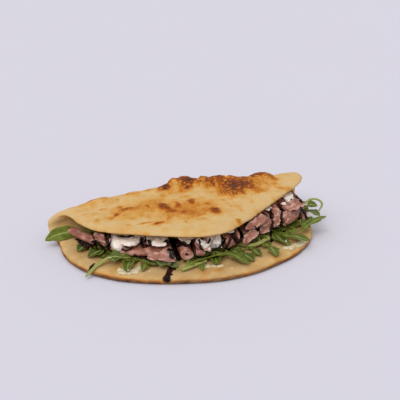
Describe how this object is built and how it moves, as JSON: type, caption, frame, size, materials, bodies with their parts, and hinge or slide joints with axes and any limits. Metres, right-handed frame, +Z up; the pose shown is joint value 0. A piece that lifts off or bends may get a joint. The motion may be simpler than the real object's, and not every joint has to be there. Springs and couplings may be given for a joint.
{
  "type": "pizza dough sandwich",
  "caption": "Round of baked pizza dough folded in half over rocket, cooked ham, soft cheese and dark glaze, lying flat with its open side in front.",
  "frame": {"origin": "middle of the footprint's bounding box, on the surface the sandwich lies on", "axes": "+X along the fold from the low end to the end with the curled tip, +Y from the open front to the fold, +Z up"},
  "size_m": [0.3118, 0.166, 0.0572],
  "materials": {
    "crust": "baked dough, pale gold with toasted and charred bubbles",
    "rocket": "fresh leaf, soft sheen, pale stems",
    "ham": "moist cooked meat",
    "cheese": "soft white cheese",
    "glaze": "dark glossy balsamic glaze"
  },
  "bodies": {
    "root": {"bread": "crust", "rocket": "rocket", "ham_roll_left": "ham", "ham_crumpled_left": "ham", "ham_long_fold": "ham", "ham_roll_middle": "ham", "ham_corner_fold": "ham", "ham_dark_fold": "ham", "ham_low_fold": "ham", "ham_thick_chunk": "ham", "ham_narrow_strip": "ham", "ham_broad_slice": "ham", "cheese_left": "cheese", "cheese_middle_left": "cheese", "cheese_middle": "cheese", "cheese_middle_right": "cheese", "cheese_small": "cheese", "cheese_right": "cheese", "cheese_far_right": "cheese"}
  },
  "joints": []
}
